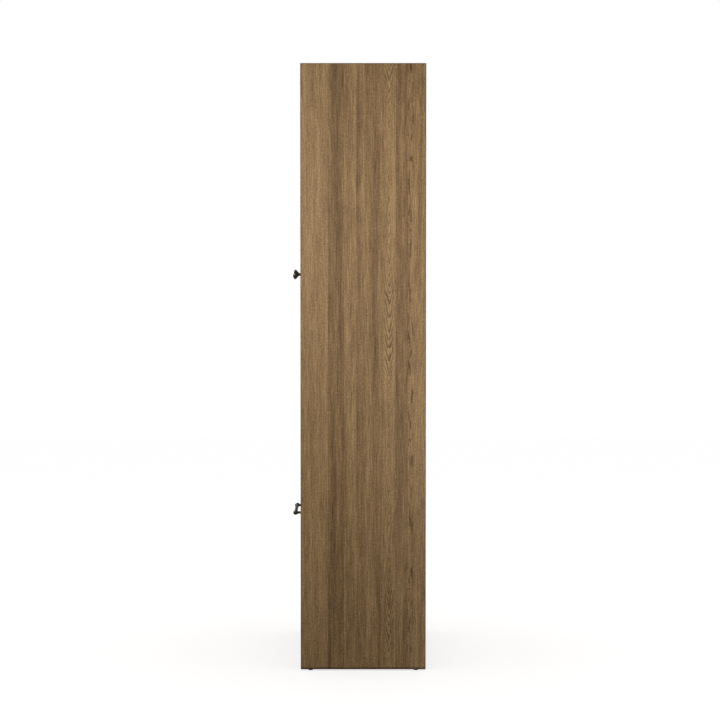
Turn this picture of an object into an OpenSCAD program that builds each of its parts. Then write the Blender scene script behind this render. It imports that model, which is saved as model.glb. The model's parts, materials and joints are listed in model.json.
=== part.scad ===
// Pantry cabinet: full-height sides, a cupboard with two framed doors over one deep drawer.
// The front faces -Y and up is +Z. The origin is on the floor, under the middle of the overall box.

/* [Cabinet] */
// Overall width
cabinet_w = 800; // [640:10:1000]
// Overall height above the floor
cabinet_h = 1850; // [1500:10:2250]
// Depth of the side panels
cabinet_d = 382; // [310:1:480]
// Thickness of the sides, top, bottom, divider and shelves
board_t = 18; // [16:1:22]
// Height of the bottom panel's underside above the floor
plinth_h = 80; // [60:1:120]
// How far the plinth stands back from the front edges
plinth_setback = 25; // [0:1:50]
// Clear height of the drawer's opening
drawer_bay_h = 391; // [320:1:480]
// Thickness of the glides under the sides
glide_h = 3; // [2:0.5:6]
// Diameter of the glides
glide_d = 14; // [10:1:15]
// Distance from the sides' front and rear edges to the glides' centres
glide_edge = 30; // [15:1:60]

/* [Back] */
// Thickness of the back panel
back_t = 6; // [3:0.5:8]
// Distance from the sides' rear edges to the back panel
back_inset = 12; // [8:1:20]
// Depth of the grooves that hold the back panel
back_groove = 8; // [4:0.5:9]
// Height of the hanging rail under the top
hanging_rail_h = 80; // [60:1:120]
// Distance between the two holes for wall screws
wall_hole_pitch = 400; // [200:10:500]
// Diameter of the holes for wall screws
wall_hole_d = 6; // [5:0.5:8]

/* [Doors and drawer front] */
// Thickness of the doors and the drawer front
door_t = 20; // [18:0.5:24]
// Width of the stiles and rails
frame_w = 64; // [56:1:80]
// Gap round each door and the drawer front
door_gap = 3; // [2.5:0.5:4]
// Thickness of the panels held in the frames
panel_t = 6; // [4:0.5:8]
// Depth of the grooves in the stiles and rails
frame_groove = 8; // [5:0.5:10]
// Height of the knobs and middle rails above the doors' lower edges
knob_rise = 695; // [450:5:750]

/* [Knobs and pull] */
// How far the knobs stand out from the doors
knob_reach = 33; // [28:0.5:40]
// Diameter of a knob's head
knob_d = 32; // [25:0.5:40]
// Length of the domed front of a knob
knob_dome_h = 8; // [4:0.5:9]
// Length of the cone behind the dome
knob_cone_h = 11; // [8:0.5:12]
// Diameter of a knob's neck
knob_neck_d = 9; // [8:0.5:12]
// Distance between the pull's two posts
pull_pitch = 224; // [128:32:320]
// Diameter of the pull's bar
pull_bar_d = 10; // [8:0.5:14]
// Diameter of the balls at the pull's ends
pull_ball_d = 15.5; // [15:0.5:20]
// Diameter of the pull's posts
pull_post_d = 8; // [7:0.5:10]
// Distance from the drawer front to the bar's axis
pull_reach = 22.5; // [20:0.5:30]
// Diameter of the foot of each knob and post
foot_d = 15; // [12:0.5:18]
// Thickness of the foot of each knob and post
foot_h = 3; // [2:0.5:4]

/* [Hinges] */
// Distance from a door's hinge edge to its pivot
pivot_in = 10; // [9:0.5:12]
// Distance from a door's front face to its pivot
pivot_back = 7; // [6:0.5:7.5]
// Length of a hinge plate
hinge_plate_l = 48; // [44:1:52]
// Width of a hinge plate
hinge_plate_w = 10; // [9:0.5:11]
// Thickness of a hinge plate
hinge_plate_t = 2.5; // [2:0.25:3]
// Diameter of a hinge pin
hinge_pin_d = 5; // [4:0.5:6]
// Diameter of a hinge pin's collar
hinge_collar_d = 9; // [8:0.5:10]
// How far a hinge pin reaches past each plate
hinge_pin_end = 4; // [2:0.5:6]

/* [Shelves] */
// Number of adjustable shelves
shelf_count = 4; // [2:1:4]
// Distance from the doors' backs to the shelves' front edges
shelf_setback = 12; // [8:1:30]
// Gap at each end of a shelf
shelf_end_gap = 1.5; // [1.5:0.5:3]
// Diameter of a shelf pin
shelf_pin_d = 5; // [5:0.5:7]
// How far a shelf pin stands out under the shelf
shelf_pin_l = 9; // [7:1:12]
// Depth of the shelf pin holes
pin_hole_depth = 10; // [8:1:12]
// Distance between the holes in a row
pin_hole_pitch = 32; // [25:1:32]
// Number of holes in the row at each pin
pin_hole_count = 5; // [1:2:5]
// Distance from a shelf's front and back edges to its pins
pin_edge = 36; // [25:1:60]

/* [Drawer box] */
// Thickness of the box's front, back and sides
box_t = 15; // [12:1:18]
// Thickness of the drawer's bottom
box_bottom_t = 6; // [4:0.5:8]
// Depth of the grooves that hold the drawer's bottom
box_groove = 6; // [4:0.5:7]
// Height of the drawer's bottom above the box's lower edge
box_bottom_rise = 10; // [8:1:15]
// Gap under the box
box_lift = 22; // [15:1:30]
// Free height above the box
box_headroom = 109; // [100:1:130]
// Gap that the slides leave at each side of the box
slide_w = 12.7; // [12.7:0.1:14]
// Height of the slides' outer members
slide_h = 45; // [42:1:50]
// Sheet thickness of the slides
slide_t = 1.2; // [1:0.1:1.2]
// Height of the slides' centre line above the box's lower edge
slide_rise = 80; // [70:1:90]
// Room left behind the slides
slide_back_room = 10; // [5:1:20]

/* [Fasteners] */
// Diameter of a cam lock
cam_d = 15; // [12:0.5:16]
// Depth of a cam lock's pocket
cam_h = 12.5; // [11.5:0.5:13]
// Distance from a panel's end to the cam's axis
cam_reach = 24; // [22:1:34]
// Diameter of a cam bolt's shank
cam_bolt_d = 6; // [5:0.5:6.5]
// Diameter of a dowel
dowel_d = 8; // [6:1:8]
// How far a dowel goes into a side panel
dowel_bite = 10; // [8:1:12]
// How far a dowel goes into a panel's end
dowel_l = 20; // [15:1:25]
// Distance from a panel's front and back edges to its cams
cam_edge = 60; // [45:1:80]
// Distance from a cam to the dowel beside it
dowel_offset = 32; // [25:1:40]
// Diameter of a wood screw's shank
screw_d = 3; // [2.5:0.5:3.5]
// Diameter of a machine screw
bolt_d = 4; // [3.5:0.5:5]

/* [Magnetic catches] */
// Width of a catch's screw tabs
catch_w = 44; // [40:1:50]
// Width of a catch's body
catch_body_w = 26; // [24:1:28]
// Front-to-back size of a catch
catch_d = 14; // [12:1:18]
// Height of a catch
catch_h = 16; // [15:1:20]
// Thickness of a catch's screw tabs
catch_tab_t = 3; // [2.5:0.5:4]
// Width of a magnet
magnet_w = 18; // [14:1:20]
// Height of a magnet
magnet_h = 9; // [7:1:10]
// Width of a strike plate
strike_w = 30; // [28:1:34]
// Height of a strike plate
strike_h = 11; // [10:0.5:12]
// Thickness of a strike plate
strike_t = 1.2; // [1:0.1:1.5]

/* [Hidden] */
$fn = 48;
SIDES = ["left", "right"];
DOOR_NODES = ["hinge_stile", "meeting_stile", "top_rail", "middle_rail", "bottom_rail", "upper_panel",
    "lower_panel", "hinge_plates", "strike_plate", "knob", "door_screws"];
DRAWER_NODES = ["drawer_front_left_stile", "drawer_front_right_stile", "drawer_front_top_rail",
    "drawer_front_bottom_rail", "drawer_front_panel", "drawer_left_side", "drawer_right_side",
    "drawer_box_front", "drawer_box_back", "drawer_bottom", "drawer_pull", "drawer_screws",
    "inner_slide_members", "middle_slide_members"];
CARCASS_NODES = ["left_side_panel", "right_side_panel", "top_panel", "bottom_panel", "divider_panel",
    "back_panel", "hanging_rail", "plinth", "floor_glides", "shelf_pins", "cam_locks", "cam_bolts",
    "dowels", "carcass_hinge_plates", "hinge_pins", "catch_cases", "catch_magnets",
    "outer_slide_members", "carcass_screws"];

// Clearances
fastener_fit = 0.1;     // round a screw, bolt, dowel or cam, on the radius
hinge_fit = 0.05;       // between a hinge pin and a door's plate, on the radius
collar_gap = 0.2;       // between a collar and a door's plate
groove_room = 1;        // at the bottom of a groove that holds a panel
catch_gap = 0.3;        // between a magnet and a strike plate
shelf_back_gap = 1;     // behind a shelf
slide_front_gap = 3;    // between the front and the slides
hole_extra = 1;         // beyond the end of a blind hole's fastener
cut = 1;                // how far a cut runs past a surface
pocket_room = 1;        // round a hinge pin's end

// Frame
inner_w = cabinet_w - 2 * board_t;
inner_x = inner_w / 2;
front_y = -(cabinet_d - knob_reach) / 2;
back_y = front_y + cabinet_d;
bay_back_y = back_y - back_inset - back_t;
bay_d = bay_back_y - front_y;
drawer_floor_z = plinth_h + board_t;
divider_z = drawer_floor_z + drawer_bay_h;
cupboard_z = divider_z + board_t;
cupboard_top_z = cabinet_h - board_t;
cupboard_h = cupboard_top_z - cupboard_z;

// Doors, drawn for the left door
door_x = -inner_x + door_gap;
door_w = (inner_w - 3 * door_gap) / 2;
door_z = cupboard_z + door_gap;
door_h = cupboard_h - 2 * door_gap;
door_back_y = front_y + door_t;
knob_x = -(door_gap + frame_w) / 2;
knob_z = door_z + knob_rise;
middle_rail_z = knob_z - frame_w / 2;
top_rail_z = door_z + door_h - frame_w;
pivot_x = door_x + pivot_in;
pivot_y = front_y + pivot_back;

// Shelves
shelf_front_y = door_back_y + shelf_setback;
shelf_d = bay_back_y - shelf_back_gap - shelf_front_y;
shelf_pitch = (cupboard_h + board_t) / (shelf_count + 1);
shelf_pin_y = [shelf_front_y + pin_edge, shelf_front_y + shelf_d - pin_edge];
pin_collar_d = shelf_pin_d + 3;
pin_collar_t = 1;

// Drawer
front_x = inner_x - door_gap;
front_z = drawer_floor_z + door_gap;
front_h = drawer_bay_h - 2 * door_gap;
pull_z = front_z + front_h - frame_w / 2;
box_x = inner_x - slide_w;
box_z = drawer_floor_z + box_lift;
box_h = drawer_bay_h - box_lift - box_headroom;
box_inner_x = box_x - box_t;
box_bottom_z = box_z + box_bottom_rise;
slide_step = 50;        // slides come in lengths this far apart
box_d = slide_step * floor((bay_back_y - door_back_y - slide_back_room) / slide_step);
slide_y = door_back_y + slide_front_gap;
slide_l = box_d - slide_front_gap;
slide_z = box_z + slide_rise;
ball_d = 3.8;           // room for the balls between two members
slide_screw_y = [for (share = [0.12, 0.5, 0.88]) slide_y + share * slide_l];
corner_rise = 40;       // from the box's edges to its corner screws
front_screw_rise = 65;  // from the box's edges to the screws into the drawer front
front_screw_in = 20;    // from a stile's inner edge to those screws
corner_screw_z = [box_z + corner_rise, box_z + box_h - corner_rise];
front_screw_z = [box_z + front_screw_rise, box_z + box_h - front_screw_rise];
corner_screw_y = [door_back_y + box_t / 2, door_back_y + box_d - box_t / 2];
front_screw_x = front_x - frame_w + front_screw_in;

// Fasteners
cam_y = [front_y + cam_edge, bay_back_y - cam_edge];
dowel_y = [cam_y[0] + dowel_offset, cam_y[1] - dowel_offset];
joint_z = [plinth_h, divider_z, cupboard_top_z];
cam_bolt_thread_d = 5;
cam_bolt_bite = 11;
cam_bolt_head_d = 7;
cam_bolt_head_l = 3;
cam_channel_d = 8;
cam_bolt_z = cam_h - cam_bolt_head_d / 2;   // a bolt's axis above its panel's underside
screw_head_d = 6;
bolt_head_d = 8;
bolt_head_h = 2.5;
bolt_bite = 10;
slide_screw_head_h = 0.9;
small_screw_l = 14;
back_screw_l = 20;
slide_screw_l = 12;
long_screw_d = 4;
corner_screw_l = 40;
front_screw_l = 30;
hinge_screw_x = [16, 34];
rail_dowel_z = [cupboard_top_z - 0.7 * hanging_rail_h, cupboard_top_z - 0.3 * hanging_rail_h];
rail_dowel_y = bay_back_y - board_t / 2;
rail_screw_x = [for (share = [-0.4, 0, 0.4]) share * inner_w];
rail_screw_z = cupboard_top_z - hanging_rail_h / 2;
plinth_dowel_z = [for (share = [0.3, 0.7]) glide_h + share * (plinth_h - glide_h)];
plinth_dowel_y = front_y + plinth_setback + board_t / 2;
wall_hole_z = cupboard_top_z - hanging_rail_h / 2;
glide_nail_d = 2;
glide_nail_l = 12;
glide_y = [front_y + glide_edge, back_y - glide_edge];

// Catches, drawn for the left door
catch_y = door_back_y + strike_t + catch_gap;
magnet_proud = 0.5;     // how far a magnet stands out of its case
magnet_d = 10;
magnet_z = cupboard_top_z - catch_h / 2 - 1;
catch_screw_in = (catch_w + catch_body_w) / 4;
strike_screw_in = 11.5;

oak = [0.51, 0.41, 0.29];
board_brown = [0.45, 0.36, 0.26];
black = [0.12, 0.12, 0.12];
steel = [0.7, 0.7, 0.72];
birch = [0.82, 0.7, 0.5];

// ---------- shapes that several pieces share ----------

// Draws its children, made for the left, on the side named
module on_side(side) mirror([side == "right" ? 1 : 0, 0, 0]) children();

module on_both_sides() for (side = SIDES) on_side(side) children();

// A box from its lowest corner and its size
module block(corner, size) translate(corner) cube(size);

// A round bar from a point along an axis: "x", "y" or "z"
module bar(point, axis, d, l) {
    turn = axis == "x" ? [0, 90, 0] : axis == "y" ? [-90, 0, 0] : [0, 0, 0];
    translate(point) rotate(turn) cylinder(d = d, h = l);
}

// A countersunk screw along -Z with its head's face at 0; room widens it into its own hole
module countersunk(d, head_d, l, room = 0) {
    head_h = (head_d - d) / 2;
    extra = room > 0 ? hole_extra : 0;
    translate([0, 0, -l - extra]) cylinder(d = d + 2 * room, h = l + extra - head_h / 2);
    translate([0, 0, -head_h]) cylinder(d1 = d + 2 * room, d2 = head_d + 2 * room, h = head_h);
}

// The cross-shaped recess in a screw's head
module recess(size) {
    for (turn = [0, 90]) rotate([0, 0, turn])
        translate([-size / 2, -size / 8, -size / 4]) cube([size, size / 4, size / 4 + cut]);
}

module wood_screw(l, d = screw_d, head_d = screw_head_d) {
    difference() {
        countersunk(d, head_d, l);
        recess(0.6 * head_d);
    }
}

module wood_screw_hole(l, d = screw_d, head_d = screw_head_d) {
    countersunk(d, head_d, l, fastener_fit);
    cylinder(d = head_d + 2 * fastener_fit, h = cut);
}

// A pan-headed screw along -Z, its head standing on 0
module pan_screw(d, l, head_d, head_h) {
    difference() {
        union() {
            translate([0, 0, -l]) cylinder(d = d, h = l);
            cylinder(d = head_d, h = head_h);
        }
        translate([0, 0, head_h]) recess(min(0.6 * head_d, 3 * head_h));
    }
}

module pan_screw_hole(d, l) {
    translate([0, 0, -l - hole_extra]) cylinder(d = d + 2 * fastener_fit, h = l + hole_extra + cut);
}

// ---------- places of the fasteners, for their pieces and their holes ----------

// Each end of the bottom, divider and top: at the cams' axes, for the right ends
module at_cams() for (z = joint_z, y = cam_y) translate([inner_x, y, z]) children();

module dowel(room = 0) {
    bar([-dowel_l - (room > 0 ? hole_extra : 0), 0, 0], "x", dowel_d + 2 * room,
        dowel_l + dowel_bite + (room > 0 ? 2 * hole_extra : 0));
}

module right_dowels(room = 0) {
    for (z = joint_z, y = dowel_y) translate([inner_x, y, z + board_t / 2]) dowel(room);
    for (z = rail_dowel_z) translate([inner_x, rail_dowel_y, z]) dowel(room);
    for (z = plinth_dowel_z) translate([inner_x, plinth_dowel_y, z]) dowel(room);
}

module dowel_cuts() on_both_sides() mirror([1, 0, 0]) right_dowels(fastener_fit);

// The pocket for a cam and the channel for its bolt, in a panel's right end
module cam_cuts() {
    on_both_sides() mirror([1, 0, 0]) at_cams() {
        bar([-cam_reach, 0, -cut], "z", cam_d + 2 * fastener_fit, cam_h + cut);
        bar([-cam_reach, 0, cam_bolt_z], "x", cam_channel_d, cam_reach + cut);
    }
}

module at_pivots() {
    translate([pivot_x, pivot_y, door_z + door_h]) children();
    translate([pivot_x, pivot_y, door_z]) mirror([0, 0, 1]) children();
}

// A hinge plate below 0, its pivot at the origin; raised makes it stand that far above 0
module hinge_plate_shape(raised = 0) {
    translate([0, 0, -hinge_plate_t]) {
        cylinder(d = hinge_plate_w, h = hinge_plate_t + raised);
        translate([0, -hinge_plate_w / 2, 0])
            cube([hinge_plate_l - hinge_plate_w / 2, hinge_plate_w, hinge_plate_t + raised]);
    }
}

// The recess, screw holes and pin's pocket under one hinge plate
module hinge_cuts() {
    pocket_h = hinge_plate_t + hinge_pin_end + pocket_room;
    hinge_plate_shape(cut);
    translate([0, 0, -pocket_h]) cylinder(d = hinge_pin_d + 2 * pocket_room, h = pocket_h);
    for (x = hinge_screw_x) translate([x, 0, 0]) wood_screw_hole(small_screw_l);
}

// Turns a door's side of a hinge into the carcass's side, across the gap
module across_gap() translate([0, 0, door_gap]) mirror([0, 0, 1]) children();

module carcass_hinge_cuts() at_pivots() across_gap() hinge_cuts();

module door_hinge_cuts() at_pivots() hinge_cuts();

module at_catch_screws() {
    for (turn = [-1, 1])
        translate([knob_x + turn * catch_screw_in, catch_y + magnet_proud + catch_d / 2,
            cupboard_top_z - catch_tab_t]) mirror([0, 0, 1]) children();
}

module at_strike_screws() {
    for (turn = [-1, 1])
        translate([knob_x + turn * strike_screw_in, door_back_y + strike_t, magnet_z])
            rotate([-90, 0, 0]) children();
}

module at_outer_slide_screws() {
    for (y = slide_screw_y) translate([-inner_x + slide_t, y, slide_z]) rotate([0, 90, 0]) children();
}

module at_inner_slide_screws() {
    for (y = slide_screw_y)
        translate([-inner_x + slide_w - slide_t, y, slide_z]) rotate([0, -90, 0]) children();
}

// Screws from behind the back panel: into the hanging rail and into the bottom panel's rear edge
module at_back_screws() {
    for (x = rail_screw_x, z = [rail_screw_z, plinth_h + board_t / 2])
        translate([x, bay_back_y + back_t, z]) rotate([-90, 0, 0]) children();
}

module at_box_corner_screws() {
    for (y = corner_screw_y, z = corner_screw_z) translate([-box_x, y, z]) rotate([0, -90, 0]) children();
}

module at_front_screws() {
    for (z = front_screw_z)
        translate([-front_screw_x, door_back_y + box_t, z]) rotate([-90, 0, 0]) children();
}

module at_pull_screws() {
    for (x = [-1, 1] * pull_pitch / 2) translate([x, door_back_y, pull_z]) rotate([-90, 0, 0]) children();
}

module at_knob_screw() translate([knob_x, door_back_y, knob_z]) rotate([-90, 0, 0]) children();

module wall_holes() {
    for (x = [-1, 1] * wall_hole_pitch / 2)
        bar([x, bay_back_y - board_t - cut, wall_hole_z], "y", wall_hole_d, board_t + back_t + 2 * cut);
}

// ---------- carcass ----------

function shelf_z(i) = cupboard_z + i * shelf_pitch - board_t;

module side_panel() {
    color(oak) difference() {
        block([inner_x, front_y, glide_h], [board_t, cabinet_d, cabinet_h - glide_h]);
        block([inner_x - cut, bay_back_y, glide_h - cut],
            [back_groove + cut, back_t, cupboard_top_z + back_groove - glide_h + cut]);
        for (i = [1:shelf_count], y = shelf_pin_y, step = [1:pin_hole_count])
            bar([inner_x - cut, y, shelf_z(i) - shelf_pin_d / 2
                + (step - (pin_hole_count + 1) / 2) * pin_hole_pitch],
                "x", shelf_pin_d + 2 * fastener_fit, pin_hole_depth + cut);
        at_cams() bar([-cut, 0, cam_bolt_z], "x", cam_bolt_thread_d + 2 * fastener_fit,
            cam_bolt_bite + hole_extra + cut);
        right_dowels(fastener_fit);
        mirror([1, 0, 0]) at_outer_slide_screws() pan_screw_hole(long_screw_d, slide_screw_l);
        for (y = glide_y)
            bar([inner_x + board_t / 2, y, glide_h - cut], "z", glide_nail_d + 2 * fastener_fit,
                glide_nail_l + hole_extra + cut);
    }
}

module right_side_panel() side_panel();

module left_side_panel() mirror([1, 0, 0]) side_panel();

module top_panel() {
    color(oak) difference() {
        block([-inner_x, front_y, cupboard_top_z], [inner_w, cabinet_d, board_t]);
        block([-inner_x - cut, bay_back_y, cupboard_top_z - cut],
            [inner_w + 2 * cut, back_t, back_groove + cut]);
        cam_cuts();
        dowel_cuts();
        on_both_sides() carcass_hinge_cuts();
        on_both_sides() at_catch_screws() wood_screw_hole(small_screw_l);
    }
}

module bottom_panel() {
    color(oak) difference() {
        block([-inner_x, front_y, plinth_h], [inner_w, bay_d, board_t]);
        cam_cuts();
        dowel_cuts();
        at_back_screws() wood_screw_hole(back_screw_l);
    }
}

module divider_panel() {
    color(oak) difference() {
        block([-inner_x, front_y, divider_z], [inner_w, bay_d, board_t]);
        cam_cuts();
        dowel_cuts();
        on_both_sides() carcass_hinge_cuts();
    }
}

module back_panel() {
    half_w = inner_x + back_groove - groove_room;
    color(board_brown) difference() {
        block([-half_w, bay_back_y, plinth_h],
            [2 * half_w, back_t, cupboard_top_z + back_groove - groove_room - plinth_h]);
        at_back_screws() wood_screw_hole(back_screw_l);
        wall_holes();
    }
}

module hanging_rail() {
    color(oak) difference() {
        block([-inner_x, bay_back_y - board_t, cupboard_top_z - hanging_rail_h],
            [inner_w, board_t, hanging_rail_h]);
        dowel_cuts();
        at_back_screws() wood_screw_hole(back_screw_l);
        wall_holes();
    }
}

module plinth() {
    color(oak) difference() {
        block([-inner_x, front_y + plinth_setback, glide_h], [inner_w, board_t, plinth_h - glide_h]);
        dowel_cuts();
    }
}

module shelf(i) {
    color(oak) block([-inner_x + shelf_end_gap, shelf_front_y, shelf_z(i)],
        [inner_w - 2 * shelf_end_gap, shelf_d, board_t]);
}

module floor_glides() {
    color(black) on_both_sides() for (y = glide_y) {
        bar([-inner_x - board_t / 2, y, 0], "z", glide_d, glide_h);
        bar([-inner_x - board_t / 2, y, glide_h], "z", glide_nail_d, glide_nail_l);
    }
}

module shelf_pins() {
    color(steel) on_both_sides() for (i = [1:shelf_count], y = shelf_pin_y)
        translate([-inner_x, y, shelf_z(i) - shelf_pin_d / 2]) {
            bar([-pin_hole_depth, 0, 0], "x", shelf_pin_d, pin_hole_depth + shelf_pin_l);
            bar([0, 0, 0], "x", pin_collar_d, pin_collar_t);
        }
}

module cam_locks() {
    color(steel) on_both_sides() mirror([1, 0, 0]) at_cams() difference() {
        bar([-cam_reach, 0, 0], "z", cam_d, cam_h);
        bar([-cam_reach - cam_bolt_head_l, 0, cam_bolt_z], "x", cam_channel_d, cam_d);
        translate([-cam_reach, 0, 0]) mirror([0, 0, 1]) recess(cam_d / 2);
    }
}

module cam_bolts() {
    color(steel) on_both_sides() mirror([1, 0, 0]) at_cams() translate([0, 0, cam_bolt_z]) {
        bar([0, 0, 0], "x", cam_bolt_thread_d, cam_bolt_bite);
        bar([-cam_reach, 0, 0], "x", cam_bolt_d, cam_reach);
        bar([-cam_reach - cam_bolt_head_l / 2, 0, 0], "x", cam_bolt_head_d, cam_bolt_head_l);
    }
}

module dowels() color(birch) on_both_sides() mirror([1, 0, 0]) right_dowels();

// ---------- hinges and catches ----------

module hinge_plate(bore_d) {
    difference() {
        hinge_plate_shape();
        translate([0, 0, -hinge_plate_t - cut]) cylinder(d = bore_d, h = hinge_plate_t + 2 * cut);
        for (x = hinge_screw_x) translate([x, 0, 0]) wood_screw_hole(small_screw_l);
    }
}

module carcass_hinge_plates() {
    color(steel) on_both_sides() at_pivots() across_gap() hinge_plate(hinge_pin_d);
}

module door_hinge_plates() color(steel) at_pivots() hinge_plate(hinge_pin_d + 2 * hinge_fit);

module hinge_pins() {
    color(steel) on_both_sides() at_pivots() {
        translate([0, 0, -hinge_plate_t - hinge_pin_end])
            cylinder(d = hinge_pin_d, h = 2 * (hinge_plate_t + hinge_pin_end) + door_gap);
        translate([0, 0, collar_gap]) cylinder(d = hinge_collar_d, h = door_gap - collar_gap);
    }
}

module catch_cases() {
    color(black) on_both_sides() difference() {
        translate([knob_x, catch_y + magnet_proud, cupboard_top_z]) {
            block([-catch_w / 2, 0, -catch_tab_t], [catch_w, catch_d, catch_tab_t]);
            block([-catch_body_w / 2, 0, -catch_h], [catch_body_w, catch_d, catch_h]);
        }
        block([knob_x - magnet_w / 2, catch_y, magnet_z - magnet_h / 2], [magnet_w, magnet_d, magnet_h]);
        at_catch_screws() wood_screw_hole(small_screw_l);
    }
}

module catch_magnets() {
    color([0.3, 0.3, 0.32]) on_both_sides()
        block([knob_x - magnet_w / 2, catch_y, magnet_z - magnet_h / 2], [magnet_w, magnet_d, magnet_h]);
}

module strike_plate() {
    color(steel) difference() {
        block([knob_x - strike_w / 2, door_back_y, magnet_z - strike_h / 2], [strike_w, strike_t, strike_h]);
        at_strike_screws() wood_screw_hole(small_screw_l, head_d = screw_d + 2 * strike_t);
    }
}

// ---------- doors, drawn for the left door ----------

// A groove along a frame piece's edge, centred in the door's thickness
module groove(corner, size) {
    block([corner[0], front_y + (door_t - panel_t) / 2, corner[1]], [size[0], panel_t, size[1]]);
}

module door_hinge_stile() {
    color(oak) difference() {
        block([door_x, front_y, door_z], [frame_w, door_t, door_h]);
        groove([door_x + frame_w - frame_groove, door_z - cut], [frame_groove + cut, door_h + 2 * cut]);
        door_hinge_cuts();
    }
}

module door_meeting_stile() {
    stile_x = door_x + door_w - frame_w;
    color(oak) difference() {
        block([stile_x, front_y, door_z], [frame_w, door_t, door_h]);
        groove([stile_x - cut, door_z - cut], [frame_groove + cut, door_h + 2 * cut]);
        at_strike_screws() wood_screw_hole(small_screw_l, head_d = screw_d + 2 * strike_t);
        at_knob_screw() pan_screw_hole(bolt_d, door_t + cut);
    }
}

// A rail between two stiles, with a tongue at each end and a groove along the edges named
module frame_rail(x, z, w, groove_below, groove_above) {
    tongue = frame_groove - groove_room;
    color(oak) difference() {
        union() {
            block([x, front_y, z], [w, door_t, frame_w]);
            groove([x - tongue, z], [w + 2 * tongue, frame_w]);
        }
        if (groove_below)
            groove([x - frame_groove - cut, z - cut], [w + 2 * (frame_groove + cut), frame_groove + cut]);
        if (groove_above)
            groove([x - frame_groove - cut, z + frame_w - frame_groove],
                [w + 2 * (frame_groove + cut), frame_groove + cut]);
    }
}

// A panel that fills the opening from x and z, and stands in the grooves round it
module frame_panel(x, z, w, h) {
    into = frame_groove - groove_room;
    color(oak) groove([x - into, z - into], [w + 2 * into, h + 2 * into]);
}

module door_rail(z, groove_below, groove_above) {
    frame_rail(door_x + frame_w, z, door_w - 2 * frame_w, groove_below, groove_above);
}

module door_panel(z, top) frame_panel(door_x + frame_w, z, door_w - 2 * frame_w, top - z);

module door_top_rail() door_rail(top_rail_z, true, false);

module door_middle_rail() door_rail(middle_rail_z, true, true);

module door_bottom_rail() door_rail(door_z, false, true);

module door_upper_panel() door_panel(middle_rail_z + frame_w, top_rail_z);

module door_lower_panel() door_panel(door_z + frame_w, middle_rail_z);

module knob() {
    dome_r = ((knob_d / 2) ^ 2 + knob_dome_h ^ 2) / (2 * knob_dome_h);
    rim_h = 1;
    neck_h = knob_reach - knob_dome_h - knob_cone_h;
    color(black) translate([knob_x, front_y, knob_z]) rotate([90, 0, 0]) difference() {
        union() {
            cylinder(d = foot_d, h = foot_h);
            cylinder(d = knob_neck_d, h = neck_h + cut);
            translate([0, 0, neck_h])
                cylinder(d1 = knob_neck_d, d2 = knob_d, h = knob_cone_h - rim_h, $fn = 96);
            intersection() {
                translate([0, 0, neck_h + knob_cone_h - rim_h])
                    cylinder(d = knob_d, h = rim_h + knob_dome_h, $fn = 96);
                translate([0, 0, knob_reach - dome_r]) sphere(r = dome_r, $fn = 96);
            }
        }
        translate([0, 0, -cut]) cylinder(d = bolt_d + 2 * fastener_fit, h = bolt_bite + hole_extra + cut);
    }
}

module door_screws() {
    color(steel) {
        at_pivots() for (x = hinge_screw_x) translate([x, 0, 0]) wood_screw(small_screw_l);
        at_strike_screws() wood_screw(small_screw_l, head_d = screw_d + 2 * strike_t);
        at_knob_screw() pan_screw(bolt_d, door_t + bolt_bite, bolt_head_d, bolt_head_h);
    }
}

// ---------- drawer ----------

module drawer_front_stile() {
    color(oak) difference() {
        block([-front_x, front_y, front_z], [frame_w, door_t, front_h]);
        groove([-front_x + frame_w - frame_groove, front_z - cut], [frame_groove + cut, front_h + 2 * cut]);
        at_front_screws() wood_screw_hole(front_screw_l, long_screw_d, 2 * long_screw_d);
    }
}

module drawer_front_left_stile() drawer_front_stile();

module drawer_front_right_stile() mirror([1, 0, 0]) drawer_front_stile();

module drawer_rail(z, groove_below, groove_above) {
    frame_rail(-front_x + frame_w, z, 2 * (front_x - frame_w), groove_below, groove_above);
}

module drawer_front_top_rail() {
    difference() {
        drawer_rail(front_z + front_h - frame_w, true, false);
        at_pull_screws() pan_screw_hole(bolt_d, door_t + cut);
    }
}

module drawer_front_bottom_rail() drawer_rail(front_z, false, true);

module drawer_front_panel() {
    frame_panel(-front_x + frame_w, front_z + frame_w, 2 * (front_x - frame_w), front_h - 2 * frame_w);
}

// The space that the drawer's bottom fills, less room at the bottom of its grooves
module drawer_bottom_space(room) {
    half_w = box_inner_x + box_groove - room;
    block([-half_w, door_back_y + box_t - box_groove + room, box_bottom_z],
        [2 * half_w, box_d - 2 * (box_t - box_groove + room), box_bottom_t]);
}

module drawer_side() {
    color(birch) difference() {
        block([-box_x, door_back_y, box_z], [box_t, box_d, box_h]);
        drawer_bottom_space(0);
        at_box_corner_screws() wood_screw_hole(corner_screw_l, long_screw_d, 2 * long_screw_d);
        at_inner_slide_screws() pan_screw_hole(long_screw_d, slide_screw_l);
    }
}

module drawer_left_side() drawer_side();

module drawer_right_side() mirror([1, 0, 0]) drawer_side();

module box_end(y) {
    difference() {
        block([-box_inner_x, y, box_z], [2 * box_inner_x, box_t, box_h]);
        drawer_bottom_space(0);
        on_both_sides() at_box_corner_screws()
            wood_screw_hole(corner_screw_l, long_screw_d, 2 * long_screw_d);
    }
}

module drawer_box_front() {
    color(birch) difference() {
        box_end(door_back_y);
        on_both_sides() at_front_screws() wood_screw_hole(front_screw_l, long_screw_d, 2 * long_screw_d);
    }
}

module drawer_box_back() color(birch) box_end(door_back_y + box_d - box_t);

module drawer_bottom() color(birch) drawer_bottom_space(groove_room / 2);

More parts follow.
